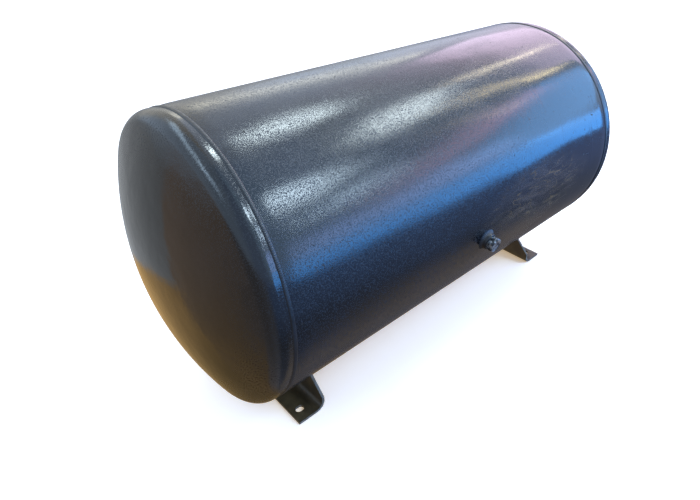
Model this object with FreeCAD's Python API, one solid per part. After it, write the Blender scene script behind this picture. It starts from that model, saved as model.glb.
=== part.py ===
"""Horizontal pressure tank: a welded steel air receiver lying on two bent plate feet.

Millimetres, +Z up. The origin is on the floor, under the middle of the tank. X runs along
the tank's axis, from the left head to the right head, and -Y is the side with the side port.
"""
import FreeCAD, Part
import math
import os
from FreeCAD import Vector

# Vessel: rolled shell and two torispherical heads
shell_r = 300.0            # outer radius of the shell and of the heads' straight flange
wall = 6.0                 # plate thickness of the shell and the heads
seam_spacing = 1023.0      # from one girth seam to the other
head_straight = 12.0       # straight flange of a head, from its seam to the knuckle
head_depth = 96.0          # dish of a head, outside, from the end of its straight flange
knuckle_r = 35.0           # outside radius of the knuckle
floor_gap = 59.0           # shell's lowest line above the floor

# Butt welds: a V groove filled by a bead that stands a little proud
weld_root = 2.0            # opening of the groove at the inner surface
weld_slope = 27.0          # slope of each groove face, in degrees from the radius
weld_cap = 1.8             # height of the bead over the plate
weld_inside = 0.5          # bead inside the inner surface
fillet_middle = 0.42       # middle of a fillet's face, as a share of its leg: hollow under 0.5
seam_angle = 45.0          # place of the lengthwise seam, in degrees up from +Y

# Feet: one bent plate under each end, its web cut to the shell
foot_plate = 6.0           # plate thickness
foot_inset = 55.5          # free end of the base, inboard of the girth seam
foot_length = 68.0         # along X, from the web's inboard face to the free end
foot_width = 388.0         # along Y
foot_bend_r = 16.0         # inside radius of the bend
foot_shoulder = 32.0       # height at which the web's sides begin to slope in
foot_top_width = 270.0     # width of the web where it meets the shell
foot_gap = 0.2             # fit-up gap between the web and the shell

# Slots in the feet for the holding-down bolts
slot_from_end = 22.0       # centre of a slot, from the free end of the base
slot_from_side = 30.0      # centre of a slot, from the side of the base
slot_length = 20.0         # end to end, along X
slot_width = 15.0

foot_weld_leg = 5.0        # fillet between a web and the shell

# Ports: welded boss with a hexagon plug
port_stand = 12.0          # boss above the shell
port_inside = 5.0          # boss beyond the inner surface
port_boss_r = 19.0
port_bore_r = 13.2
port_gap = 0.2             # between the boss and the hole cut in the shell
port_weld_leg = 6.0        # fillet round a boss
thread_gap = 0.1           # radial, between a plug's shank and the bore
shank_depth = 18.0         # length of a plug's shank inside the boss
neck = 2.0                 # shank left showing between a boss and its hexagon
hex_flats = 32.0           # across the flats of a plug's hexagon
hex_height = 13.0
hex_chamfer = 2.0          # height of the chamfer at the hexagon's corners
hex_turn = 26.0            # how far a corner is turned from +X, in degrees

# Place of each port: along X, and in degrees up from +Y about the tank's axis
side_port_x = 0.0
side_port_angle = 188.5
rear_port_x = 0.0
rear_port_angle = -8.5
drain_port_x = 0.0
drain_port_angle = -90.0

ports = {
    "side": (side_port_x, side_port_angle),
    "rear": (rear_port_x, rear_port_angle),
    "drain": (drain_port_x, drain_port_angle),
}
inner_r = shell_r - wall
seam_x = seam_spacing / 2
foot_web_x = seam_x - foot_inset - foot_length
slot_x = seam_x - foot_inset - slot_from_end
slot_y = foot_width / 2 - slot_from_side
axis_height = floor_gap + shell_r
axis_point = Vector(0, 0, axis_height)
along = Vector(1, 0, 0)


def revolved(edges):
    """Turn a closed outline in the XZ plane, drawn about the tank's axis, into a solid."""
    outline = Part.Face(Part.Wire(edges))
    outline.translate(axis_point)
    return outline.revolve(axis_point, along, 360)


def lines(points):
    """Straight edges through the points, as (x, radius) pairs."""
    ends = [Vector(x, 0, r) for x, r in points]
    return [Part.makeLine(a, b) for a, b in zip(ends, ends[1:])]


def arc(start, middle, end):
    """Edge of a circle through three (x, radius) pairs."""
    a, b, c = [Vector(x, 0, r) for x, r in (start, middle, end)]
    return Part.Arc(a, b, c).toShape()


def place_port(shape, x, angle):
    """Move a shape drawn about Z, with the tank's axis at its origin, to a port's place."""
    turn = FreeCAD.Rotation(along, angle - 90)
    shape.Placement = FreeCAD.Placement(Vector(x, 0, axis_height), turn)
    return shape


def full_cylinder(radius, length):
    """Cylinder on the tank's axis, centred on the middle of the tank."""
    return Part.makeCylinder(radius, length, Vector(-length / 2, 0, axis_height), along)


def groove_half(radius):
    """Half the width of a weld groove, at a distance from the tank's axis."""
    return weld_root / 2 + (radius - inner_r) * math.tan(math.radians(weld_slope))


def shell():
    """Rolled plate, bevelled at its ends, with a groove for its seam and a hole per boss."""
    inner_x = seam_x - groove_half(inner_r)
    outer_x = seam_x - groove_half(shell_r)
    corners = [(-inner_x, inner_r), (inner_x, inner_r), (outer_x, shell_r), (-outer_x, shell_r)]
    body = revolved(lines(corners + corners[:1]))

    low = inner_r - weld_root / 2
    high = shell_r + wall
    top = Part.makeLine(Vector(0, -groove_half(high), high), Vector(0, groove_half(high), high))
    body = body.cut(seam_prism(low, high, top))
    for x, angle in ports.values():
        hole = Part.makeCylinder(port_boss_r + port_gap, 2 * wall, Vector(0, 0, inner_r - wall / 2))
        body = body.cut(place_port(hole, x, angle))
    return body


def seam_prism(low, high, top):
    """Wedge along the lengthwise seam between two distances from the axis, under a top edge."""
    foot = groove_half(low)
    head = groove_half(high)
    corners = [(head, high), (foot, low), (-foot, low), (-head, high)]
    sides = Part.makePolygon([Vector(0, y, z) for y, z in corners])
    section = Part.Face(Part.Wire([top] + sides.Edges))
    return place_port(section.extrude(Vector(seam_spacing, 0, 0)), -seam_x, seam_angle)


def seam_weld():
    """Bead of the lengthwise seam, which runs into the girth beads."""
    toe = Vector(0, -groove_half(shell_r), shell_r)
    crest = Vector(0, 0, shell_r + weld_cap)
    far_toe = Vector(0, groove_half(shell_r), shell_r)
    bead = seam_prism(inner_r - weld_inside, shell_r, Part.Arc(toe, crest, far_toe).toShape())
    inner_x = seam_x - groove_half(inner_r)
    bead = bead.common(full_cylinder(shell_r + 2 * weld_cap, 2 * inner_x))
    return bead.cut(girth_weld(-1)).cut(girth_weld(1))


def girth_weld(side):
    """Ring that fills the groove between the shell and a head."""
    low = inner_r - weld_inside
    foot = groove_half(low)
    head = groove_half(shell_r)
    x = side * seam_x
    sides = lines([(x - head, shell_r), (x - foot, low), (x + foot, low), (x + head, shell_r)])
    cap = arc((x + head, shell_r), (x, shell_r + weld_cap), (x - head, shell_r))
    return revolved(sides + [cap])


def dish(outer, knuckle, depth, crown, start_x):
    """Knuckle arc and crown arc of a head's surface, from its straight flange to the axis."""
    knuckle_centre = (start_x, outer - knuckle)
    crown_x = start_x + depth - crown
    meet = math.atan2(outer - knuckle, start_x - crown_x)

    def on_circle(x, r, radius, angle):
        return (x + radius * math.cos(angle), r + radius * math.sin(angle))

    start = (start_x, outer)
    turn = on_circle(*knuckle_centre, knuckle, (meet + math.pi / 2) / 2)
    join = on_circle(*knuckle_centre, knuckle, meet)
    middle = on_circle(crown_x, 0, crown, meet / 2)
    tip = (start_x + depth, 0)
    return start, arc(start, turn, join), arc(join, middle, tip), tip


def head(side):
    """Torispherical head of one pressed plate, bevelled at its edge."""
    reach = shell_r - knuckle_r
    crown = (head_depth ** 2 - knuckle_r ** 2 + reach ** 2) / (2 * (head_depth - knuckle_r))
    start_x = seam_x + head_straight
    out_start, out_knuckle, out_crown, out_tip = dish(shell_r, knuckle_r, head_depth, crown, start_x)
    in_start, in_knuckle, in_crown, in_tip = dish(
        inner_r, knuckle_r - wall, head_depth - wall, crown - wall, start_x)
    low = (seam_x + groove_half(inner_r), inner_r)
    high = (seam_x + groove_half(shell_r), shell_r)
    bevel = [in_start, low, high, out_start]
    edges = lines(bevel) + [out_knuckle, out_crown] + lines([out_tip, in_tip]) + [in_crown, in_knuckle]
    solid = revolved(Part.__sortEdges__(edges))
    if side < 0:
        solid = solid.mirror(axis_point, along)
    return solid


def foot(side):
    """Bent plate: a web cut to the shell, and a base that runs outwards under the head."""
    outer_r = foot_bend_r + foot_plate
    bend = Vector(outer_r, 0, outer_r)

    def bend_arc(radius):
        """Ends of the bend's arc at a radius, on the base and on the web, and the arc."""
        on_base = bend - Vector(0, 0, radius)
        on_web = bend - Vector(radius, 0, 0)
        middle = bend - Vector(radius * math.sqrt(0.5), 0, radius * math.sqrt(0.5))
        return on_base, on_web, Part.Arc(on_base, middle, on_web).toShape()

    low_base, low_web, outer_bend = bend_arc(outer_r)
    top_base, top_web, inner_bend = bend_arc(foot_bend_r)
    web_top = [Vector(0, 0, axis_height), Vector(foot_plate, 0, axis_height)]
    base_end = [Vector(foot_length, 0, foot_plate), Vector(foot_length, 0, 0)]
    web_edges = Part.makePolygon([low_web, *web_top, top_web]).Edges
    base_edges = Part.makePolygon([top_base, *base_end, low_base]).Edges
    section = Part.Wire([outer_bend, *web_edges, inner_bend, *base_edges])
    plate = Part.Face(section).extrude(Vector(0, foot_width, 0))
    plate.translate(Vector(foot_web_x, -foot_width / 2, 0))

    plate = plate.common(foot_front())
    plate = plate.cut(full_cylinder(shell_r + foot_gap, seam_spacing))
    for y in (-slot_y, slot_y):
        plate = plate.cut(slot(slot_x, y))
    if side < 0:
        plate = plate.mirror(Vector(0, 0, 0), along)
    return plate


def foot_front():
    """Outline of a foot seen along X, as a block that reaches past both of its faces."""
    half = foot_width / 2
    top_half = foot_top_width / 2
    top_z = axis_height - math.sqrt(shell_r ** 2 - top_half ** 2)
    lean = (half - top_half) / (top_z - foot_shoulder)
    spare = 2 * foot_plate
    outline = [
        Vector(0, -half, 0),
        Vector(0, half, 0),
        Vector(0, half, foot_shoulder),
        Vector(0, top_half - lean * spare, top_z + spare),
        Vector(0, -top_half + lean * spare, top_z + spare),
        Vector(0, -half, foot_shoulder),
    ]
    block = Part.Face(Part.makePolygon(outline + outline[:1])).extrude(Vector(foot_length, 0, 0))
    block.translate(Vector(foot_web_x, 0, 0))
    return block


def slot(x, y):
    """Round-ended slot through a foot's base, lengthwise along X."""
    end_r = slot_width / 2
    run = slot_length - slot_width
    height = 3 * foot_plate
    base_z = -foot_plate
    body = Part.makeBox(run, slot_width, height, Vector(x - run / 2, y - end_r, base_z))
    for end_x in (x - run / 2, x + run / 2):
        body = body.fuse(Part.makeCylinder(end_r, height, Vector(end_x, y, base_z)))
    return body.removeSplitter()


def foot_weld(side, face):
    """Fillet along the arc of a web, on its outward (face 1) or inboard (face -1) side."""
    plate_x = foot_web_x + (foot_plate if face > 0 else 0)
    throat = foot_weld_leg * fillet_middle
    start = (plate_x, shell_r)
    up_plate = (plate_x, shell_r + foot_weld_leg)
    on_shell = (plate_x + face * foot_weld_leg, shell_r)
    middle = (plate_x + face * throat, shell_r + throat)
    edges = lines([on_shell, start, up_plate]) + [arc(up_plate, middle, on_shell)]
    ring = revolved(edges)
    ring = ring.common(room_under_shell())
    if side < 0:
        ring = ring.mirror(Vector(0, 0, 0), along)
    return ring


def room_under_shell():
    """Room under the shell between the two top corners of a web, for its fillets."""
    top_half = foot_top_width / 2
    reach = 2 * foot_weld_leg
    length = foot_plate + 2 * reach
    corner = Vector(foot_web_x - reach, -top_half, 0)
    return Part.makeBox(length, foot_top_width, axis_height, corner)


def boss(x, angle):
    """Round threaded boss set through the shell."""
    foot_z = inner_r - port_inside
    height = shell_r + port_stand - foot_z
    body = Part.makeCylinder(port_boss_r, height, Vector(0, 0, foot_z))
    body = body.cut(Part.makeCylinder(port_bore_r, height, Vector(0, 0, foot_z)))
    return place_port(body, x, angle)


def boss_weld(x, angle):
    """Fillet round a boss, cut to the curve of the shell. Its outline dips below the shell."""
    toe_r = port_boss_r + port_weld_leg
    sag = shell_r - math.sqrt(shell_r ** 2 - toe_r ** 2)
    base_z = shell_r - 3 * sag
    throat = port_weld_leg * fillet_middle
    low_in = Vector(port_boss_r, 0, base_z)
    low_out = Vector(toe_r, 0, base_z)
    toe = Vector(toe_r, 0, shell_r - 1.5 * sag)
    middle = Vector(port_boss_r + throat, 0, shell_r + throat)
    top = Vector(port_boss_r, 0, shell_r + port_weld_leg)
    outline = Part.makePolygon([top, low_in, low_out, toe]).Edges
    outline.append(Part.Arc(toe, middle, top).toShape())
    ring = Part.Face(Part.Wire(outline)).revolve(Vector(0, 0, 0), Vector(0, 0, 1), 360)
    return place_port(ring, x, angle).cut(full_cylinder(shell_r, seam_spacing))


def plug(x, angle):
    """Screwed plug: a plain shank in the boss and a chamfered hexagon head."""
    shank_z = shell_r + port_stand - shank_depth
    head_z = shell_r + port_stand + neck
    top_z = head_z + hex_height
    shank = Part.makeCylinder(port_bore_r - thread_gap, head_z - shank_z, Vector(0, 0, shank_z))

    flat_r = hex_flats / 2
    corner_r = flat_r / math.cos(math.radians(30))
    turns = [math.radians(hex_turn + 60 * step) for step in range(7)]
    corners = [Vector(corner_r * math.cos(t), corner_r * math.sin(t), head_z) for t in turns]
    hexagon = Part.Face(Part.makePolygon(corners)).extrude(Vector(0, 0, hex_height))

    blank_r = corner_r + hex_chamfer
    fall = hex_chamfer * (blank_r - flat_r) / (corner_r - flat_r)
    profile = [
        Vector(0, 0, head_z),
        Vector(blank_r, 0, head_z),
        Vector(blank_r, 0, top_z - fall),
        Vector(flat_r, 0, top_z),
        Vector(0, 0, top_z),
        Vector(0, 0, head_z),
    ]
    blank = Part.Face(Part.makePolygon(profile)).revolve(Vector(0, 0, 0), Vector(0, 0, 1), 360)
    return place_port(hexagon.common(blank).fuse(shank), x, angle)


nodes = {
    "shell": shell(),
    "seam_weld": seam_weld(),
}
for name, side in (("left", -1), ("right", 1)):
    nodes[name + "_head"] = head(side)
    nodes[name + "_girth_weld"] = girth_weld(side)
    nodes[name + "_foot"] = foot(side)
    nodes[name + "_foot_outer_weld"] = foot_weld(side, 1)
    nodes[name + "_foot_inner_weld"] = foot_weld(side, -1)
for name, (x, angle) in ports.items():
    nodes[name + "_boss"] = boss(x, angle)
    nodes[name + "_boss_weld"] = boss_weld(x, angle)
    nodes[name + "_plug"] = plug(x, angle)

os.makedirs("parts", exist_ok=True)
for node, shape in nodes.items():
    box = shape.BoundBox
    print(f"{node}: solids {len(shape.Solids)}, valid {shape.isValid()}, volume {shape.Volume / 1e3:.1f} cm3, "
          f"x {box.XMin:.1f} {box.XMax:.1f} y {box.YMin:.1f} {box.YMax:.1f} z {box.ZMin:.1f} {box.ZMax:.1f}")
    shape.exportStep(f"parts/{node}.step")
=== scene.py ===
"""Horizontal pressure tank: a welded steel air receiver in blue-black enamel, on two bent plate feet.

Metres, +Z up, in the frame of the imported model: the tank lies along X and stands on z = 0.
The sections follow the tank as it is put together: shell, heads, seams, feet, ports, studio.
"""

import math

import bmesh
import bpy
from mathutils import Matrix, Vector, noise


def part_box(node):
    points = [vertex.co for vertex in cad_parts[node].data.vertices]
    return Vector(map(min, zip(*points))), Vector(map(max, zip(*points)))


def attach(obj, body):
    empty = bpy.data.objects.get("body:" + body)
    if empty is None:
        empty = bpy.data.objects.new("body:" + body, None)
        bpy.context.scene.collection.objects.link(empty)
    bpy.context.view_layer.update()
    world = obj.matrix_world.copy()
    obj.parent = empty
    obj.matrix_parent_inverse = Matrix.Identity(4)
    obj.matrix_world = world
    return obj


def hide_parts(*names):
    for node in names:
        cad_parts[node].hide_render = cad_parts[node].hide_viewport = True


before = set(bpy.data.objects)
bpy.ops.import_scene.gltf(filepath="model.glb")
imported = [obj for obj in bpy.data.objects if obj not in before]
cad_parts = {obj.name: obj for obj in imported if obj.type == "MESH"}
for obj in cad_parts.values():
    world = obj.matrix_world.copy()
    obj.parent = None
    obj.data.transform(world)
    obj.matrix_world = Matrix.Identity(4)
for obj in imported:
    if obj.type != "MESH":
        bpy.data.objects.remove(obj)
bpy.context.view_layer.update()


# --- Shell -------------------------------------------------------------------------------------
# One steel plate rolled to a cylinder and butt welded, 6 mm thick. Rolling leaves it very slightly
# wavy, and the shrinking girth seams draw its two ends in by a millimetre and a half.

shell_low, shell_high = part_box("shell")
shell_r = (shell_high.z - shell_low.z) / 2
axis_z = shell_low.z + shell_r
seam_out = 0.0055          # a seam is drawn this far outboard of its packed bead's inner edge, which
seam_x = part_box("right_girth_weld")[0].x + seam_out      # is 1.4 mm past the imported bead's middle
wall = 0.006               # thickness of the plate
root_gap = 0.001           # from the middle of a girth seam to the edge of either plate
plate_wave = 0.00030       # height of the waves that the rolls leave
seam_draw = 0.0016         # how far a girth seam draws the plate in
draw_reach = 0.013         # distance over which it does
plate_rings = 110          # mesh rings along the plate
plate_steps = 256          # and mesh steps round it


def plate_radius(x, turn):
    """Outer radius of the rolled plate, which has 3, 5 and 7 uneven waves to a turn."""
    waves = (math.sin(3 * turn + 1.0 + 2.1 * x) + 0.6 * math.sin(7 * turn - 5.0 * x)
             + 0.5 * math.sin(5 * turn + 9.0 * x + 2.0)) / 2.1
    gap = seam_x - abs(x)
    drawn = math.exp(-(gap / draw_reach) ** 2)
    return shell_r - plate_wave * (1 + waves) - seam_draw * drawn


def turned(name, outline, steps, shape=None, place=None, sweep=2 * math.pi, start=0.0):
    """Mesh of a closed outline of (along, radius) points turned about the tank's axis.

    shape(index, along, radius, turn) may move each point, place moves the result, and a sweep
    under a full turn is closed by an outline that shape draws together at both its ends.
    """
    place = place or Matrix.Translation((0, 0, axis_z))
    whole = sweep > 2 * math.pi - 1e-6
    stations = steps if whole else steps + 1
    points = []
    for step in range(stations):
        turn = start + sweep * step / steps
        for index, (along, radius) in enumerate(outline):
            if shape:
                along, radius = shape(index, along, radius, turn)
            points.append(place @ Vector((along, radius * math.cos(turn), radius * math.sin(turn))))
    count = len(outline)
    faces = []
    for step in range(steps):
        here = step * count
        there = (step + 1) % stations * count
        for index in range(count):
            after = (index + 1) % count
            faces.append((here + index, here + after, there + after, there + index))
    return meshed(name, points, faces)


def meshed(name, points, faces, sharp=math.radians(40)):
    """Smooth object with clean normals from points and faces, with points that meet merged."""
    mesh = bpy.data.meshes.new(name)
    mesh.from_pydata(points, [], faces)
    body = bmesh.new()
    body.from_mesh(mesh)
    bmesh.ops.remove_doubles(body, verts=body.verts, dist=1e-6)
    bmesh.ops.dissolve_degenerate(body, edges=body.edges, dist=1e-7)
    bmesh.ops.recalc_face_normals(body, faces=body.faces)
    body.to_mesh(mesh)
    body.free()
    mesh.shade_smooth()
    mesh.set_sharp_from_angle(angle=sharp)
    piece = bpy.data.objects.new(name, mesh)
    bpy.context.scene.collection.objects.link(piece)
    return piece


def fitted(piece, finish, slot, *nodes):
    """Give a piece its finish, ride it on the tank, and let it stand for its CAD nodes."""
    piece.data.materials.clear()
    piece.data.materials.append(finish)
    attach(piece, "root")
    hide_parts(*nodes)


def linear(hex_colour):
    """Linear RGBA from an sRGB hex colour."""
    parts = [int(hex_colour[i:i + 2], 16) / 255 for i in (1, 3, 5)]
    return [p / 12.92 if p <= 0.04045 else ((p + 0.055) / 1.055) ** 2.4 for p in parts] + [1.0]


def add(tree, kind, inputs=(), **settings):
    """Add a node: settings are its properties, and inputs are values or sockets to link."""
    made = tree.nodes.new("ShaderNode" + kind)
    for setting, value in settings.items():
        setattr(made, setting, value)
    for socket, value in dict(inputs).items():
        if isinstance(value, bpy.types.NodeSocket):
            tree.links.new(value, made.inputs[socket])
        else:
            made.inputs[socket].default_value = value
    return made


def new_finish(name):
    """Empty material, and its node tree with only a shader joined to the output."""
    finish = bpy.data.materials.new(name)
    finish.use_nodes = True
    tree = finish.node_tree
    tree.nodes.clear()
    shader = add(tree, "BsdfPrincipled")
    output = add(tree, "OutputMaterial")
    tree.links.new(shader.outputs["BSDF"], output.inputs["Surface"])
    return finish, tree, shader


def shell_enamel():
    """Air-dried alkyd enamel, sprayed thick over rolled plate: glossy, almost black and blue.

    The eye gets sharp reflections broken up by orange peel and by fine grit caught in the wet
    paint, long waves from the rolls, runs down the sides, and a thin film of dust on top.
    """
    finish, tree, shader = new_finish("blue_black_sprayed_enamel")
    place = add(tree, "TexCoord").outputs["Object"]
    # The same place on the shell rolled out flat, in metres along it and round it
    part = add(tree, "SeparateXYZ", {"Vector": place})
    along = part.outputs["X"]
    height = add(tree, "Math", {0: part.outputs["Z"], 1: axis_z}, operation="SUBTRACT")
    turn = add(tree, "Math", {0: part.outputs["Y"], 1: height.outputs[0]}, operation="ARCTAN2")
    around = add(tree, "Math", {0: turn.outputs[0], 1: shell_r}, operation="MULTIPLY")
    flat = add(tree, "CombineXYZ", {"X": along, "Y": around.outputs[0]}).outputs[0]

    # Grit and dried spray, 2 to 3 mm apart and thicker at the left end, where the spraying began:
    # real grit is finer and is drawn as coarse as it shows
    grit = add(tree, "TexNoise", {"Vector": place, "Scale": 1 / 0.0024, "Detail": 2.0, "Roughness": 0.65})
    grit = grit.outputs["Fac"]
    thick = add(tree, "MapRange", {"Value": along, "From Min": 0.30, "From Max": -0.15, "To Min": 0.30})
    # Orange peel 18 mm apart: real peel is finer, and is drawn as coarse as it shows
    peel = add(tree, "TexNoise", {"Vector": place, "Scale": 1 / 0.018, "Detail": 2.0, "Roughness": 0.5})
    # Waves from the rolls, 60 to 250 mm long, stretched along the tank
    rolled = add(tree, "Mapping", {"Vector": flat, "Scale": (3.0, 9.0, 1.0)})
    waves = add(tree, "TexNoise", {"Vector": rolled.outputs[0], "Scale": 1.6, "Detail": 1.0,
                                   "Roughness": 0.4})
    # Runs of paint, a few millimetres wide and up to 150 mm long, down the sides
    hung = add(tree, "Mapping", {"Vector": flat, "Scale": (1 / 0.009, 1 / 0.16, 1.0)})
    runs = add(tree, "TexNoise", {"Vector": hung.outputs[0], "Scale": 1.0, "Detail": 2.0, "Roughness": 0.5})
    run_line = add(tree, "MapRange", {"Value": runs.outputs["Fac"], "From Min": 0.60, "From Max": 0.72})
    up = add(tree, "SeparateXYZ", {"Vector": add(tree, "NewGeometry").outputs["Normal"]})
    hanging = add(tree, "MapRange", {"Value": up.outputs["Z"], "From Min": 0.80, "From Max": 0.35})

    # The coat is uneven in patches a hand wide, and the grit in it shows a paler blue-grey
    patch = add(tree, "TexNoise", {"Vector": place, "Scale": 1 / 0.14, "Detail": 4.0, "Roughness": 0.6})
    tone = add(tree, "MapRange", {"Value": patch.outputs["Fac"], "From Min": 0.35, "From Max": 0.68})
    paint = add(tree, "MixRGB", {0: tone.outputs[0], 1: linear("#090b0e"), 2: linear("#0f131a")})
    speck = add(tree, "MapRange", {"Value": grit, "From Min": 0.52, "From Max": 0.60})
    speck = add(tree, "Math", {0: speck.outputs[0], 1: thick.outputs[0]}, operation="MULTIPLY")
    speck_share = add(tree, "Math", {0: speck.outputs[0], 1: 0.24}, operation="MULTIPLY")
    paint = add(tree, "MixRGB", {0: speck_share.outputs[0], 1: paint.outputs[0], 2: linear("#2b3440")})

    # Dust lies on what faces up, in the smudges that wiping left
    lying = add(tree, "MapRange", {"Value": up.outputs["Z"], "From Min": 0.25, "From Max": 1.0})
    wiped = add(tree, "Mapping", {"Vector": flat, "Scale": (4.5, 11.0, 1.0), "Rotation": (0, 0, 0.5)})
    smudge = add(tree, "TexNoise", {"Vector": wiped.outputs[0], "Scale": 1.3, "Detail": 5.0,
                                    "Roughness": 0.62, "Distortion": 0.8})
    smudge = add(tree, "MapRange", {"Value": smudge.outputs["Fac"], "From Min": 0.42, "From Max": 0.72})
    dust = add(tree, "Math", {0: lying.outputs[0], 1: smudge.outputs[0]}, operation="MULTIPLY")
    dust_share = add(tree, "Math", {0: dust.outputs[0], 1: 0.03}, operation="MULTIPLY")
    paint = add(tree, "MixRGB", {0: dust_share.outputs[0], 1: paint.outputs[0], 2: linear("#8d8a86")})

    # Clay-coloured dirt wiped about with a rag, low down and inboard of the right foot
    rub_x, rub_around, rub_half_long, rub_half_wide = 0.20, -0.480, 1 / 4.2, 1 / 10.0
    rub_place = add(tree, "Mapping", {"Vector": flat,
                                      "Location": (-rub_x / rub_half_long, -rub_around / rub_half_wide, 0),
                                      "Scale": (1 / rub_half_long, 1 / rub_half_wide, 1.0)})
    rub_round = add(tree, "TexGradient", {"Vector": rub_place.outputs[0]}, gradient_type="SPHERICAL")
    rag = add(tree, "Mapping", {"Vector": flat, "Rotation": (0, 0, 0.45), "Scale": (11.0, 46.0, 1.0)})
    rub_line = add(tree, "TexNoise", {"Vector": rag.outputs[0], "Scale": 1.0, "Detail": 4.0,
                                      "Roughness": 0.6, "Distortion": 1.6})
    rub_line = add(tree, "MapRange", {"Value": rub_line.outputs["Fac"], "From Min": 0.36, "From Max": 0.66})
    rub_edge = add(tree, "MapRange", {"Value": rub_round.outputs["Fac"], "From Max": 0.5})
    rub = add(tree, "Math", {0: rub_edge.outputs[0], 1: rub_line.outputs[0]}, operation="MULTIPLY")
    rub_share = add(tree, "Math", {0: rub.outputs[0], 1: 0.26}, operation="MULTIPLY")
    paint = add(tree, "MixRGB", {0: rub_share.outputs[0], 1: paint.outputs[0], 2: linear("#7a6654")})
    # Fingers drew a few thin lines in it
    finger = add(tree, "TexNoise", {"Vector": rag.outputs[0], "Scale": 0.5, "Detail": 1.0,
                                    "Distortion": 2.6})
    finger = add(tree, "Math", {0: finger.outputs["Fac"], 1: 0.5}, operation="SUBTRACT")
    finger = add(tree, "Math", {0: finger.outputs[0]}, operation="ABSOLUTE")
    finger = add(tree, "MapRange", {"Value": finger.outputs[0], "From Min": 0.020, "From Max": 0.0,
                                    "To Max": 0.50})
    finger = add(tree, "Math", {0: finger.outputs[0], 1: rub_edge.outputs[0]}, operation="MULTIPLY")
    paint = add(tree, "MixRGB", {0: finger.outputs[0], 1: paint.outputs[0], 2: linear("#8f7550")})

    # A few larger dark specks of dirt in the paint, dull and 7 or 8 mm apart at their closest
    fleck = add(tree, "TexNoise", {"Vector": place, "Scale": 1 / 0.0075, "Detail": 1.0, "Roughness": 0.5})
    fleck = add(tree, "MapRange", {"Value": fleck.outputs["Fac"], "From Min": 0.735, "From Max": 0.765})
    paint = add(tree, "MixRGB", {0: fleck.outputs[0], 1: paint.outputs[0], 2: linear("#14110f")})

    # Glossiest at the right end; grit, smudges, dust and dirt dull it
    sheen = add(tree, "MapRange", {"Value": along, "From Min": 0.15, "From Max": -0.15, "To Min": 0.085,
                                   "To Max": 0.125})
    gloss = add(tree, "Math", {0: speck.outputs[0], 1: 0.44, 2: sheen.outputs[0]}, operation="MULTIPLY_ADD")
    for film, share in ((smudge, 0.03), (dust, 0.10), (rub, 0.16), (fleck, 0.45)):
        gloss = add(tree, "Math", {0: film.outputs[0], 1: share, 2: gloss.outputs[0]},
                    operation="MULTIPLY_ADD")

    # Waves 1.4 mm high, then runs and orange peel of 0.16 mm and grit of 0.2 mm on them
    relief = add(tree, "Bump", {"Height": waves.outputs["Fac"], "Distance": 0.0014, "Strength": 1.0})
    relief = add(tree, "Bump", {"Height": run_line.outputs[0], "Distance": 0.00016,
                                "Strength": hanging.outputs[0], "Normal": relief.outputs[0]})
    relief = add(tree, "Bump", {"Height": peel.outputs["Fac"], "Distance": 0.00016, "Strength": 1.0,
                                "Normal": relief.outputs[0]})
    relief = add(tree, "Bump", {"Height": grit, "Distance": 0.00020, "Strength": thick.outputs[0],
                                "Normal": relief.outputs[0]})

    tree.links.new(paint.outputs[0], shader.inputs["Base Color"])
    tree.links.new(gloss.outputs[0], shader.inputs["Roughness"])
    tree.links.new(relief.outputs[0], shader.inputs["Normal"])
    shader.inputs["IOR"].default_value = 1.52
    return finish


enamel = shell_enamel()
shell_end = seam_x - root_gap
outside = [(-shell_end + 2 * shell_end * i / plate_rings, shell_r) for i in range(plate_rings + 1)]
inside = [(shell_end, shell_r - wall), (-shell_end, shell_r - wall)]


def rolled_plate(index, along, radius, turn):
    """Waves on the outside of the shell; the inside stays plain."""
    return along, plate_radius(along, turn) if index <= plate_rings else radius


shell = turned("shell_plate", outside + inside, plate_steps, rolled_plate)
fitted(shell, enamel, "enamel", "shell")


# --- Heads -------------------------------------------------------------------------------------
# Two dished ends pressed hot from 6 mm plate: a short straight flange, a tight knuckle and a wide
# shallow crown. Pressing leaves them smoother than the shell, and each is welded on by its edge.

head_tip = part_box("right_head")[1].x
flange = 0.012             # length of the straight flange
knuckle = 0.035            # outer radius of the bend into the crown
head_inset = 0.0003        # the pressed edge is this much smaller than the shell
edge_share = 6             # power by which the edge's changes die out towards the crown


def dish_outline(outer, bend, depth, straight_x, points):
    """Points of a dished end from its straight flange, round the knuckle, to the axis."""
    reach = outer - bend
    crown = (depth ** 2 - bend ** 2 + reach ** 2) / (2 * (depth - bend))
    crown_x = straight_x + depth - crown
    meet = math.atan2(reach, straight_x - crown_x)
    turn_points = points // 2
    knuckle_part = [
        (straight_x + bend * math.cos(a), outer - bend + bend * math.sin(a))
        for a in (math.pi / 2 + (meet - math.pi / 2) * i / turn_points for i in range(turn_points + 1))]
    crown_part = [
        (crown_x + crown * math.cos(a), crown * math.sin(a))
        for a in (meet * (1 - i / points) for i in range(1, points + 1))]
    return knuckle_part + crown_part


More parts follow.
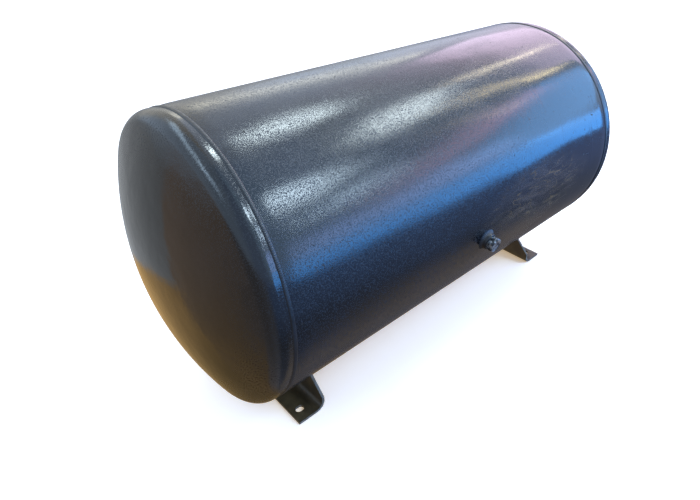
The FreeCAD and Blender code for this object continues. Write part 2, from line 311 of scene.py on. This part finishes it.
def head_enamel():
    """The same enamel over a pressed surface: clean soft reflections, with grit on the shoulder.

    It has the press's shallow dents, a finer orange peel, and wipe marks in swirls.
    """
    finish, tree, shader = new_finish("blue_black_head_enamel")
    place = add(tree, "TexCoord").outputs["Object"]
    grit = add(tree, "TexNoise", {"Vector": place, "Scale": 1 / 0.0024, "Detail": 2.0, "Roughness": 0.65})
    peel = add(tree, "TexNoise", {"Vector": place, "Scale": 1 / 0.016, "Detail": 2.0, "Roughness": 0.5})
    pressed = add(tree, "TexNoise", {"Vector": place, "Scale": 1 / 0.16, "Detail": 2.0, "Roughness": 0.5})
    patch = add(tree, "TexNoise", {"Vector": place, "Scale": 1 / 0.11, "Detail": 4.0, "Roughness": 0.62})
    tone = add(tree, "MapRange", {"Value": patch.outputs["Fac"], "From Min": 0.38, "From Max": 0.66})
    paint = add(tree, "MixRGB", {0: tone.outputs[0], 1: linear("#090909"), 2: linear("#0f0f10")})
    speck = add(tree, "MapRange", {"Value": grit.outputs["Fac"], "From Min": 0.52, "From Max": 0.60})
    # The shoulder begins 170 mm from the tank's axis and is full at 270 mm
    centre = add(tree, "VectorMath", {0: place, 1: (0, -1, -1)}, operation="MULTIPLY")
    centre = add(tree, "VectorMath", {0: centre.outputs[0], 1: (0, 0, axis_z)}, operation="ADD")
    centre = add(tree, "VectorMath", {0: centre.outputs[0]}, operation="LENGTH")
    shoulder = add(tree, "MapRange", {"Value": centre.outputs["Value"], "From Min": 0.17, "From Max": 0.27,
                                      "To Min": 0.08, "To Max": 0.5})
    speck = add(tree, "Math", {0: speck.outputs[0], 1: shoulder.outputs[0]}, operation="MULTIPLY")
    paint = add(tree, "MixRGB", {0: speck.outputs[0], 1: paint.outputs[0], 2: linear("#1e2226")})
    swirl = add(tree, "TexNoise", {"Vector": place, "Scale": 6.0, "Detail": 6.0, "Roughness": 0.66,
                                   "Distortion": 1.6})
    swirl = add(tree, "MapRange", {"Value": swirl.outputs["Fac"], "From Min": 0.40, "From Max": 0.70})
    film = add(tree, "Math", {0: swirl.outputs[0], 1: 0.012}, operation="MULTIPLY")
    paint = add(tree, "MixRGB", {0: film.outputs[0], 1: paint.outputs[0], 2: linear("#8b8b88")})
    gloss = add(tree, "Math", {0: swirl.outputs[0], 1: 0.05, 2: 0.080}, operation="MULTIPLY_ADD")
    gloss = add(tree, "Math", {0: speck.outputs[0], 1: 0.60, 2: gloss.outputs[0]}, operation="MULTIPLY_ADD")
    dents = add(tree, "TexNoise", {"Vector": place, "Scale": 1 / 0.045, "Detail": 2.0, "Roughness": 0.5})
    relief = add(tree, "Bump", {"Height": pressed.outputs["Fac"], "Distance": 0.0020, "Strength": 1.0})
    relief = add(tree, "Bump", {"Height": dents.outputs["Fac"], "Distance": 0.0008, "Strength": 1.0,
                                "Normal": relief.outputs[0]})
    relief = add(tree, "Bump", {"Height": peel.outputs["Fac"], "Distance": 0.00012, "Strength": 1.0,
                                "Normal": relief.outputs[0]})
    relief = add(tree, "Bump", {"Height": grit.outputs["Fac"], "Distance": 0.00030,
                                "Strength": shoulder.outputs[0], "Normal": relief.outputs[0]})
    tree.links.new(paint.outputs[0], shader.inputs["Base Color"])
    tree.links.new(gloss.outputs[0], shader.inputs["Roughness"])
    tree.links.new(relief.outputs[0], shader.inputs["Normal"])
    shader.inputs["IOR"].default_value = 1.52
    return finish


pressed_enamel = head_enamel()
straight_x = seam_x + flange
head_depth = head_tip - straight_x
edge_x = seam_x + root_gap
head_edge = [(edge_x + (flange - root_gap) * i / 6, shell_r) for i in range(6)]
head_out = head_edge + dish_outline(shell_r, knuckle, head_depth, straight_x, 56)
head_in = dish_outline(shell_r - wall, knuckle - wall, head_depth - wall, straight_x, 20)
head_in = head_in[::-1] + [(edge_x, shell_r - wall)]


def drawn_edge(index, along, radius, turn):
    """The girth seam draws in the edge of a head as it does the shell."""
    drawn = seam_draw * math.exp(-((along - seam_x) / draw_reach) ** 2)
    return along, radius - (drawn + head_inset) * (radius / shell_r) ** edge_share


for side, name in ((-1, "left"), (1, "right")):
    flip = Matrix.Translation((0, 0, axis_z)) @ Matrix.Diagonal((side, 1, 1, 1))
    head = turned(name + "_dished_head", head_out + head_in, plate_steps, drawn_edge, flip)
    fitted(head, pressed_enamel, "enamel", name + "_head")


# --- Seams -------------------------------------------------------------------------------------
# Butt welds laid by submerged arc and painted over: one round each end, and one along the shell
# where the rolled plate meets itself, high on the rear. Fine ripples show how the bead was laid.

bead_cap = 0.0019          # height of a bead over the plate, ripples included
bead_half = 0.0046         # half the width of a girth bead
seam_half = 0.0055         # and of the lengthwise bead
girth_toe = 0.0010         # how far a girth bead's toes dip into the plate
seam_toe = 0.0012          # and the lengthwise bead's
seam_stop = 0.004          # the lengthwise bead ends under the girth beads, this far from their middle
seam_turn = math.radians(45)
ripple_pitch = 0.0036
ripple_rise = 0.00016
girth_steps = 2080         # mesh steps round a girth bead, about four to a ripple
seam_steps = 1120          # and along the lengthwise bead
across_bead = [i / 6 - 1 for i in range(13)]


def bead_ripple(way, across):
    """Height of a bead's ripples: arcs that trail behind the arc, a little uneven."""
    uneven = noise.noise(Vector((way * 18, across * 0.7, 3.1)))
    return ripple_rise * (math.sin(2 * math.pi * (way / ripple_pitch + 0.5 * across ** 2) + uneven * 2)
                          + 1.2 * uneven)


def bead_section(across, toe):
    """Height of a bead's rounded cap, from one toe at -1 to the other at 1."""
    crown = (bead_cap - ripple_rise * 2.4) * math.sqrt(max(0.0, 1 - across * across))
    return crown - toe * abs(across) ** 6


def weld_enamel():
    """Enamel over a weld bead: duller and nearer to black than on plate, as it lies on rough metal."""
    finish, tree, shader = new_finish("enamelled_weld_bead")
    place = add(tree, "TexCoord").outputs["Object"]
    grain = add(tree, "TexNoise", {"Vector": place, "Scale": 1 / 0.004, "Detail": 3.0, "Roughness": 0.6})
    stain = add(tree, "TexNoise", {"Vector": place, "Scale": 1 / 0.05, "Detail": 3.0, "Roughness": 0.6})
    tone = add(tree, "MapRange", {"Value": stain.outputs["Fac"], "From Min": 0.35, "From Max": 0.7})
    paint = add(tree, "MixRGB", {0: tone.outputs[0], 1: linear("#08090b"), 2: linear("#15171b")})
    gloss = add(tree, "Math", {0: grain.outputs["Fac"], 1: 0.35, 2: 0.24}, operation="MULTIPLY_ADD")
    relief = add(tree, "Bump", {"Height": grain.outputs["Fac"], "Distance": 0.0005, "Strength": 1.0})
    tree.links.new(paint.outputs[0], shader.inputs["Base Color"])
    tree.links.new(gloss.outputs[0], shader.inputs["Roughness"])
    tree.links.new(relief.outputs[0], shader.inputs["Normal"])
    shader.inputs["IOR"].default_value = 1.52
    return finish


bead_enamel = weld_enamel()
for side, name in ((-1, "left"), (1, "right")):
    crest = [(side * seam_x + bead_half * u, shell_r) for u in across_bead]
    root = [(side * seam_x + gap, shell_r - wall) for gap in (root_gap, -root_gap)]

    def girth_bead(index, along, radius, turn):
        """Rounded cap of a girth bead with its ripples, and its root left plain."""
        if index >= len(across_bead):
            return along, radius
        u = across_bead[index]
        ripple = (1 - abs(u) ** 4) * bead_ripple(turn * shell_r, u)
        return along, radius - seam_draw + bead_section(u, girth_toe) + ripple

    girth = turned(name + "_girth_bead", crest + root, girth_steps, girth_bead)
    fitted(girth, bead_enamel, "enamel", name + "_girth_weld")

seam_points = []
seam_end = seam_x - seam_stop
root_share = (0.2, -0.2)   # the bead's root is a fifth of its width
for step in range(seam_steps + 1):
    x = seam_end * (2 * step / seam_steps - 1)
    for i, u in enumerate((*across_bead, *root_share)):
        turn = seam_turn + seam_half * u / shell_r
        radius = shell_r - wall
        if i < len(across_bead):
            ripple = (1 - abs(u) ** 4) * bead_ripple(x + 3, u)
            radius = plate_radius(x, turn) + bead_section(u, seam_toe) + ripple
        seam_points.append((x, radius * math.cos(turn), axis_z + radius * math.sin(turn)))
count = len(across_bead) + len(root_share)
seam_faces = [tuple(range(count)), tuple(range(seam_steps * count, (seam_steps + 1) * count))]
for step in range(seam_steps):
    for i in range(count):
        a, b = step * count + i, step * count + (i + 1) % count
        seam_faces.append((a, b, b + count, a + count))
seam = meshed("lengthwise_bead", seam_points, seam_faces)
fitted(seam, bead_enamel, "enamel", "seam_weld")


# --- Feet --------------------------------------------------------------------------------------
# A 6 mm plate under each end, flame cut, bent to an L and slotted for a holding-down bolt at each
# end of its base. Its web is cut to the shell and welded to it on both faces.

foot_plate = 0.006         # thickness of the plate
fillet_leg = 0.005         # leg of the fillet welds
fillet_ripple = 0.0042     # pitch of their ripples
fillet_sink = 0.0004       # how far they run into the shell
fillet_short = 0.012       # angle by which they stop short of the web's corners
fillet_taper = 0.02        # and over which their ends close
fillet_steps = 420
weld_face = range(1, 8)    # points of a weld's section that lie on its open face
# Section of a fillet, in legs: out from the web, and out from the shell
fillet_ring = [
    (-0.15, 0.9), (0.0, 1.0), (0.06, 0.78), (0.18, 0.54), (0.34, 0.34), (0.54, 0.18), (0.78, 0.06),
    (1.0, 0.0), (0.9, -0.18), (-0.15, -0.18),
]


def foot_enamel():
    """Thin enamel over mill scale: brown-black, rust showing through, cut edges rubbed bright and also
    painted lighter as a highlight.
    """
    finish, tree, shader = new_finish("foot_enamel_rubbed_edges_painted_highlight")
    place = add(tree, "TexCoord").outputs["Object"]
    # The cut edges are painted lighter: partly rubbed bare, partly a painted highlight standing in for the
    # light a rounded edge would catch
    face = add(tree, "SeparateXYZ", {"Vector": add(tree, "NewGeometry").outputs["Normal"]})
    side_cut = add(tree, "Math", {0: face.outputs["Y"]}, operation="ABSOLUTE")
    side_cut = add(tree, "MapRange", {"Value": side_cut.outputs[0], "From Min": 0.55, "From Max": 0.8})
    rubbed_and_highlit_edge_noise = add(tree, "TexNoise", {"Vector": place, "Scale": 1 / 0.012, "Detail": 4.0, "Roughness": 0.65})
    edge = add(tree, "MapRange", {"Value": rubbed_and_highlit_edge_noise.outputs["Fac"], "From Min": 0.30, "From Max": 0.55})
    edge = add(tree, "Math", {0: edge.outputs[0], 1: side_cut.outputs[0]}, operation="MULTIPLY")

    patch = add(tree, "TexNoise", {"Vector": place, "Scale": 1 / 0.045, "Detail": 5.0, "Roughness": 0.65})
    tone = add(tree, "MapRange", {"Value": patch.outputs["Fac"], "From Min": 0.35, "From Max": 0.68})
    paint = add(tree, "MixRGB", {0: tone.outputs[0], 1: linear("#332a1b"), 2: linear("#57482f")})
    rust = add(tree, "TexNoise", {"Vector": place, "Scale": 1 / 0.020, "Detail": 6.0, "Roughness": 0.7,
                                  "Distortion": 0.6})
    rust = add(tree, "MapRange", {"Value": rust.outputs["Fac"], "From Min": 0.56, "From Max": 0.74,
                                  "To Max": 0.7})
    paint = add(tree, "MixRGB", {0: rust.outputs[0], 1: paint.outputs[0], 2: linear("#5e4022")})
    # Lighter grey on the cut edges: wear and a painted highlight
    paint = add(tree, "MixRGB", {0: edge.outputs[0], 1: paint.outputs[0], 2: linear("#6a6258")})
    gloss = add(tree, "Math", {0: patch.outputs["Fac"], 1: 0.25, 2: 0.32}, operation="MULTIPLY_ADD")
    gloss = add(tree, "Math", {0: side_cut.outputs[0], 1: 0.30, 2: gloss.outputs[0]},
                operation="MULTIPLY_ADD")
    grain = add(tree, "TexNoise", {"Vector": place, "Scale": 1 / 0.004, "Detail": 3.0, "Roughness": 0.6})
    relief = add(tree, "Bump", {"Height": grain.outputs["Fac"], "Distance": 0.0006, "Strength": 1.0})
    tree.links.new(paint.outputs[0], shader.inputs["Base Color"])
    tree.links.new(gloss.outputs[0], shader.inputs["Roughness"])
    tree.links.new(relief.outputs[0], shader.inputs["Normal"])
    return finish


foot_finish = foot_enamel()
for side, name in ((-1, "left"), (1, "right")):
    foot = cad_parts[name + "_foot"]
    foot.data.materials.clear()
    foot.data.materials.append(foot_finish)
    low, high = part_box(name + "_foot")
    web_x = min(abs(low.x), abs(high.x))
    weld_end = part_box(name + "_foot_outer_weld")[1].y
    half_turn = math.asin(weld_end / (shell_r + fillet_leg / 2)) - fillet_short

    for face, which in ((1, "outer"), (-1, "inner")):
        plate_x = web_x + (foot_plate if face > 0 else 0)

        def fillet(index, along, radius, turn):
            """Ripples on a fillet's face, and its section drawn together at both its ends."""
            way = turn * shell_r
            share, up = fillet_ring[index]
            left = half_turn - abs(turn + math.pi / 2)
            size = math.sqrt(min(1.0, max(0.0, left) / fillet_taper))
            size *= 1 + 0.10 * noise.noise(Vector((way * 45, plate_x * 50, 0.5)))
            lift = 1 + 0.09 * math.sin(2 * math.pi * (way / fillet_ripple + 0.3 * share))
            if index in weld_face:
                share, up = share * lift, up * lift
            return (side * (plate_x + face * fillet_leg * share * size),
                    shell_r - fillet_sink + fillet_leg * up * size)

        bead_name = name + "_foot_" + which
        bead = turned(bead_name + "_bead", [(0, 0)] * len(fillet_ring), fillet_steps, fillet,
                      sweep=2 * half_turn, start=-math.pi / 2 - half_turn)
        fitted(bead, bead_enamel, "foot_enamel", bead_name + "_weld")


# --- Ports -------------------------------------------------------------------------------------
# A round steel boss, in the same paint as the welds, is set through the shell and welded round:
# one on each side and one at the bottom for the drain. Each is closed by a turned hexagon plug,
# screwed in with a little thread left.

stand = 0.012              # height of a boss above the shell
boss_r = 0.019
bore_r = 0.0132
boss_tail = 0.005          # how far it goes in past the plate
boss_leg = 0.006           # leg of the weld round it
boss_ripple = 0.0045       # pitch of its ripples
neck = 0.002               # thread left showing under the hexagon
flats = 0.032              # width of the hexagon across its flats
hex_height = 0.013
hex_turn = math.radians(26)
rim_in = 0.0003            # a rounded chamfer of the hexagon draws its outer ring in
rim_fall = 0.0006          # and drops it
thread_pitch = 0.0014
thread_crest = 0.0001      # how far the crests lie inside the bore
thread_root = 0.0010       # and the roots
thread_inside = 0.004      # length of thread that is cut inside the boss
plug_tail = 0.018          # length of plug inside the boss
tail_chamfer = 0.0015
ports = {"side": math.radians(188.5), "rear": math.radians(-8.5), "drain": math.radians(-90)}


def plug_steel():
    """Zinc-plated steel, turned and caught by overspray: bright glints between patches of paint."""
    finish, tree, shader = new_finish("oversprayed_zinc_plate")
    place = add(tree, "TexCoord").outputs["Object"]
    spray = add(tree, "TexNoise", {"Vector": place, "Scale": 1 / 0.009, "Detail": 4.0, "Roughness": 0.65})
    cover = add(tree, "MapRange", {"Value": spray.outputs["Fac"], "From Min": 0.42, "From Max": 0.52})
    colour = add(tree, "MixRGB", {0: cover.outputs[0], 1: linear("#cdd3d8"), 2: linear("#0e1115")})
    bare = add(tree, "Math", {0: 1.0, 1: cover.outputs[0]}, operation="SUBTRACT")
    gloss = add(tree, "Math", {0: cover.outputs[0], 1: 0.14, 2: 0.22}, operation="MULTIPLY_ADD")
    grain = add(tree, "TexNoise", {"Vector": place, "Scale": 1 / 0.002, "Detail": 2.0, "Roughness": 0.6})
    relief = add(tree, "Bump", {"Height": grain.outputs["Fac"], "Distance": 0.00015, "Strength": 1.0})
    tree.links.new(colour.outputs[0], shader.inputs["Base Color"])
    tree.links.new(bare.outputs[0], shader.inputs["Metallic"])
    tree.links.new(gloss.outputs[0], shader.inputs["Roughness"])
    tree.links.new(relief.outputs[0], shader.inputs["Normal"])
    return finish


zinc = plug_steel()
boss_foot = shell_r - wall - boss_tail
boss_top = shell_r + stand
# Section of a boss with its rim rounded, as (along its axis, radius)
boss_ring = [
    (boss_foot, bore_r), (boss_foot, boss_r), (shell_r, boss_r), (boss_top - 0.0015, boss_r),
    (boss_top - 0.0006, boss_r - 0.0003), (boss_top, boss_r - 0.0012), (boss_top, bore_r + 0.0022),
    (boss_top - 0.0008, bore_r + 0.0006), (boss_top - 0.0022, bore_r),
]
# Section of the weld round it, in legs: out over the shell, and up the boss
weld_ring = [
    (0.0, 1.12), (0.0, 1.0), (0.10, 0.80), (0.24, 0.60), (0.42, 0.42), (0.62, 0.24), (0.82, 0.10),
    (1.0, 0.0), (0.95, -0.25), (-0.12, -0.25),
]
corner_r = flats / 2 / math.cos(math.radians(30))
hex_low = boss_top + neck
hex_top = hex_low + hex_height
thread = []
turn_z = boss_top - thread_inside
while turn_z < hex_low - thread_pitch * 0.9:
    thread += [(turn_z, bore_r - thread_root), (turn_z + thread_pitch / 2, bore_r - thread_crest)]
    turn_z += thread_pitch
# Section of a plug, in which radii from 1.0 to 4.0 only mark the hexagon's rings
plug_outline = (
    [(boss_top - plug_tail, 0.0), (boss_top - plug_tail, bore_r - tail_chamfer),
     (boss_top - plug_tail + tail_chamfer, bore_r - thread_crest)]
    + thread
    + [(hex_low, bore_r - thread_root), (hex_low, 0.0148), (hex_low + 0.0006, 0.0156), (hex_low, 1.0),
       (hex_low, 2.0), (hex_top, 3.0), (hex_top, 4.0), (hex_top, 0.0154), (hex_top, 0.0146),
       (hex_top - 0.0004, 0.0138), (hex_top - 0.0004, 0.0)])


def hexagon(index, along, radius, turn):
    """The hexagon's rings: marks 1 to 4 are its lower and upper rounded chamfer curves."""
    if radius < 0.5:
        return along, radius
    corner = (turn - hex_turn) % math.radians(60) - math.radians(30)
    reach = min(flats / 2 / math.cos(corner), corner_r - 0.0005)
    fall = (reach - flats / 2) * math.tan(math.radians(30)) + rim_in
    mark = round(radius)
    if mark == 1:
        return hex_low + 0.6 * fall, reach - rim_in
    if mark == 2:
        return hex_low + 0.6 * fall + rim_fall, reach
    if mark == 3:
        return hex_top - fall - rim_fall, reach
    return hex_top - fall, reach - rim_in


# Turns what is along the tank's axis to point up
upright = Matrix(((0, 1, 0, 0), (0, 0, 1, 0), (1, 0, 0, 0), (0, 0, 0, 1)))
for name, turn in ports.items():
    place = Matrix.Translation((0, 0, axis_z)) @ Matrix.Rotation(turn - math.pi / 2, 4, "X") @ upright

    def saddle(index, along, radius, around):
        """A weld's section laid on the curve of the shell, with its ripples."""
        share, up = weld_ring[index]
        way = around * (boss_r + boss_leg)
        lift = 1 + 0.08 * math.sin(2 * math.pi * way / boss_ripple) * (index in weld_face)
        lift *= 1 + 0.12 * noise.noise(Vector((math.cos(around) * 1.5, math.sin(around) * 1.5, turn)))
        out = boss_r + boss_leg * share * lift
        drop = shell_r - math.sqrt(shell_r ** 2 - (out * math.sin(around)) ** 2)
        return shell_r - drop + boss_leg * up * lift, out

    boss = turned(name + "_port_boss", boss_ring, 96, place=place)
    fitted(boss, bead_enamel, "enamel", name + "_boss")
    bead = turned(name + "_port_bead", [(0, 0)] * len(weld_ring), 288, saddle, place)
    fitted(bead, bead_enamel, "enamel", name + "_boss_weld")
    plug = turned(name + "_hexagon_plug", plug_outline, 120, hexagon, place)
    fitted(plug, zinc, "plug_steel", name + "_plug")


# --- Studio ------------------------------------------------------------------------------------
# A pale floor and white cloth behind it, which only the camera sees. The gloss mirrors a sky that is
# grey-blue above and dark or brown below the horizon, and soft panels: white, pink and gold high
# up, blue beside the tank.

reach = 30.0               # half the width of the floor
backdrop_share = 1.5       # radius of the backdrop, in reaches
floor_drop = 0.0005        # keeps the floor just under the feet


def studio_floor():
    """Matt white paper that glows warm a little, so that the panels' blue doesn't tint it."""
    finish, tree, shader = new_finish("matt_white_paper")
    place = add(tree, "TexCoord").outputs["Object"]
    fibre = add(tree, "TexNoise", {"Vector": place, "Scale": 3.0, "Detail": 2.0})
    tone = add(tree, "MixRGB", {0: fibre.outputs["Fac"], 1: linear("#f4f4f4"), 2: linear("#f7f7f7")})
    tree.links.new(tone.outputs[0], shader.inputs["Base Color"])
    shader.inputs["Roughness"].default_value = 0.9
    shader.inputs["Specular IOR Level"].default_value = 0.1
    shader.inputs["Emission Color"].default_value = (1.0, 0.72, 0.36, 1)
    shader.inputs["Emission Strength"].default_value = 0.42
    return finish


def studio_backdrop():
    """White cloth, lit so evenly that it glows."""
    finish, tree, shader = new_finish("white_cloth")
    shader.inputs["Base Color"].default_value = (0, 0, 0, 1)
    shader.inputs["Specular IOR Level"].default_value = 0
    shader.inputs["Emission Color"].default_value = (1, 1, 1, 1)
    shader.inputs["Emission Strength"].default_value = 1
    return finish


corners = [(x * reach, y * reach, -floor_drop) for x, y in ((-1, -1), (1, -1), (1, 1), (-1, 1))]
floor = meshed("studio_floor", corners, [(0, 1, 2, 3)])
floor.data.materials.append(studio_floor())
dome_r = backdrop_share * reach
dome = [(-dome_r * math.cos(math.pi * i / 32), dome_r * math.sin(math.pi * i / 32)) for i in range(33)]
backdrop = turned("studio_backdrop", dome, 64)
backdrop.data.materials.append(studio_backdrop())
for piece in (floor, backdrop):
    piece.visible_glossy = False
    piece.visible_diffuse = False
    piece.visible_shadow = False

world = bpy.data.worlds.new("studio_sky")
bpy.context.scene.world = world
world.use_nodes = True
sky = world.node_tree
sky.nodes.clear()
way = add(sky, "VectorMath", {0: add(sky, "TexCoord").outputs["Generated"]}, operation="NORMALIZE")
way = add(sky, "SeparateXYZ", {"Vector": way.outputs[0]})
rise = add(sky, "Math", {0: way.outputs["Z"]}, operation="ARCSINE").outputs[0]
bearing = add(sky, "Math", {0: way.outputs["Y"], 1: way.outputs["X"]}, operation="ARCTAN2").outputs[0]

# The sky goes round from the left end, by the side with the port, the right end and the rear, back
# to the left end. Each sector takes over between two bearings, and changes colour as it climbs.
sectors = [
    # bearings, colour lowest down, then (from, to, colour) on the way up; all angles in degrees
    ((-181, -180), (0.34, 0.31, 0.31), [(-3, 9, (0.80, 1.05, 1.40))]),
    ((-160, -130), (0.40, 0.40, 0.45), [(-3, 9, (0.55, 0.75, 1.15))]),
    ((-130, -100), (0.16, 0.18, 0.24), [(-45, -8, (0.30, 0.48, 0.95)), (-3, 9, (0.55, 0.75, 1.15))]),
    ((-100, -70), (0.16, 0.17, 0.21), [(-45, -8, (0.30, 0.48, 0.95)), (-3, 9, (0.90, 1.35, 1.90))]),
    ((-55, -30), (0.33, 0.28, 0.24), [(-43, -35, (0.15, 0.17, 0.23)), (-36, -8, (0.32, 0.45, 0.90)),
                                      (-3, 9, (0.95, 1.30, 1.85))]),
    ((-12, 20), (0.16, 0.15, 0.16), [(-36, -8, (0.36, 0.42, 0.62)), (-3, 9, (1.50, 1.40, 1.75)),
                                    (34, 46, (1.35, 1.60, 1.90))]),
    ((28, 52), (0.28, 0.19, 0.08), [(-58, -36, (0.60, 0.40, 0.18)), (-33.5, -31.5, (0.48, 0.51, 0.54)),
                                    (-3, 9, (1.40, 1.62, 2.00))]),
    ((56, 68), (0.28, 0.19, 0.08), [(-58, -36, (0.75, 0.48, 0.20)), (-33.5, -31.5, (0.48, 0.51, 0.54)),
                                    (-3, 9, (1.18, 1.18, 1.12))]),
    ((90, 110), (0.28, 0.19, 0.08), [(-58, -36, (0.75, 0.48, 0.20)), (-33.5, -31.5, (0.48, 0.51, 0.54)),
                                     (-3, 9, (1.0, 1.25, 1.60))]),
    ((129, 133), (0.38, 0.25, 0.11), [(-56, -14, (0.60, 0.46, 0.36)), (-3, 9, (1.0, 1.25, 1.60))]),
    ((160, 174), (0.34, 0.31, 0.31), [(-3, 9, (0.80, 1.05, 1.40))]),
]
round_colour = (0, 0, 0, 1)
for (begins, ends), lowest, climbs in sectors:
    colour = (*lowest, 1)
    for low, high, upper in climbs:
        climb = add(sky, "MapRange", {"Value": rise, "From Min": math.radians(low),
                                      "From Max": math.radians(high)}, interpolation_type="SMOOTHSTEP")
        colour = add(sky, "MixRGB", {0: climb.outputs[0], 1: colour, 2: (*upper, 1)}).outputs[0]
    share = add(sky, "MapRange", {"Value": bearing, "From Min": math.radians(begins),
                                  "From Max": math.radians(ends)}, interpolation_type="SMOOTHSTEP")
    round_colour = add(sky, "MixRGB", {0: share.outputs[0], 1: round_colour, 2: colour}).outputs[0]
glow = add(sky, "Background", {"Color": round_colour, "Strength": 1.0})
sky.links.new(glow.outputs[0], add(sky, "OutputWorld").inputs["Surface"])

panels = {
    # name: colour, radiance, place, aim, width, height, roll in degrees
    "blue_strip": ((0.07, 0.37, 1.0), 7.8, (2.47, -3.19, 0.52), (0.0, -0.25, 0.4), 4.0, 0.84, 0),
    "blue_edge": ((0.32, 0.48, 1.0), 6.2, (1.96, -3.02, 1.26), (-0.2, -0.25, 0.4), 2.1, 0.54, 0),
    "blue_far": ((0.13, 0.44, 1.0), 4.2, (3.68, -1.92, 1.70), (0.28, -0.25, 0.5), 2.3, 1.12, 28),
    "pink_far": ((1.0, 0.60, 0.88), 3.1, (2.88, -2.30, 2.22), (0.0, -0.23, 0.55), 2.3, 0.42, 18),
    "white_near_rear": ((0.80, 0.95, 1.0), 25.0, (1.66, 0.92, 3.90), (-0.37, 0.0, 0.64), 0.72, 0.62, 0),
    "white_middle": ((0.84, 0.97, 1.0), 19.0, (2.50, -0.56, 3.50), (-0.1, 0.0, 0.6), 1.10, 0.52, 0),
    "white_near": ((0.68, 0.86, 1.0), 27.0, (1.40, -2.36, 3.30), (-0.45, -0.2, 0.56), 0.78, 0.60, 20),
    "white_low": ((0.60, 0.80, 1.0), 26.0, (1.90, -2.96, 2.45), (-0.35, -0.2, 0.5), 0.86, 0.20, 26),
    "lilac_end": ((1.0, 0.74, 1.0), 2.2, (3.62, 0.85, 2.25), (0.25, 0.0, 0.6), 3.0, 1.20, 0),
    "warm_rear": ((1.0, 0.96, 0.76), 2.4, (1.90, 3.02, 2.10), (-0.25, 0.0, 0.65), 2.4, 0.55, 0),
    "gold_lamp": ((1.0, 0.82, 0.46), 11.0, (3.35, -0.76, 2.95), (0.18, -0.15, 0.6), 0.15, 1.10, 0),
    "gold_lamp_far": ((1.0, 0.88, 0.62), 11.0, (3.38, 0.34, 2.99), (0.2, -0.12, 0.6), 0.14, 0.90, 0),
    "gold_lamp_low": ((1.0, 0.82, 0.56), 6.0, (3.12, -1.62, 2.70), (0.05, -0.2, 0.56), 0.12, 0.80, 0),
    "high_left": ((0.58, 0.79, 1.0), 4.0, (-2.10, 1.80, 3.30), (-0.55, 0.0, 0.5), 4.2, 0.80, 0),
    "high_behind": ((0.56, 0.77, 1.0), 3.6, (-3.30, 0.20, 3.40), (-0.55, 0.0, 0.5), 1.5, 0.80, 0),
}
for name, (colour, radiance, place, aim, wide, high, roll) in panels.items():
    light = bpy.data.lights.new(name, "AREA")
    light.shape = "RECTANGLE"
    light.size = wide
    light.size_y = high
    light.energy = radiance * math.pi * wide * high    # a panel's power for the brightness it shows
    light.color = colour
    panel = bpy.data.objects.new(name, light)
    facing = (Vector(aim) - Vector(place)).to_track_quat("-Z", "Y").to_matrix().to_4x4()
    panel.matrix_world = Matrix.Translation(place) @ facing @ Matrix.Rotation(math.radians(roll), 4, "Z")
    bpy.context.scene.collection.objects.link(panel)

# The camera stands off the left end, on the side port's side, and looks down along the tank
camera = bpy.data.cameras.new("camera")
camera.lens = 27.67
camera.shift_x = -0.02857
camera.shift_y = -0.0614
view = bpy.data.objects.new("camera", camera)
view.location = (-0.8580, -0.8473, 0.9724)
view.rotation_euler = Vector((0.5868, 0.6342, -0.5035)).to_track_quat("-Z", "Y").to_euler()
bpy.context.scene.collection.objects.link(view)
bpy.context.scene.camera = view
bpy.context.scene.view_settings.view_transform = "Standard"
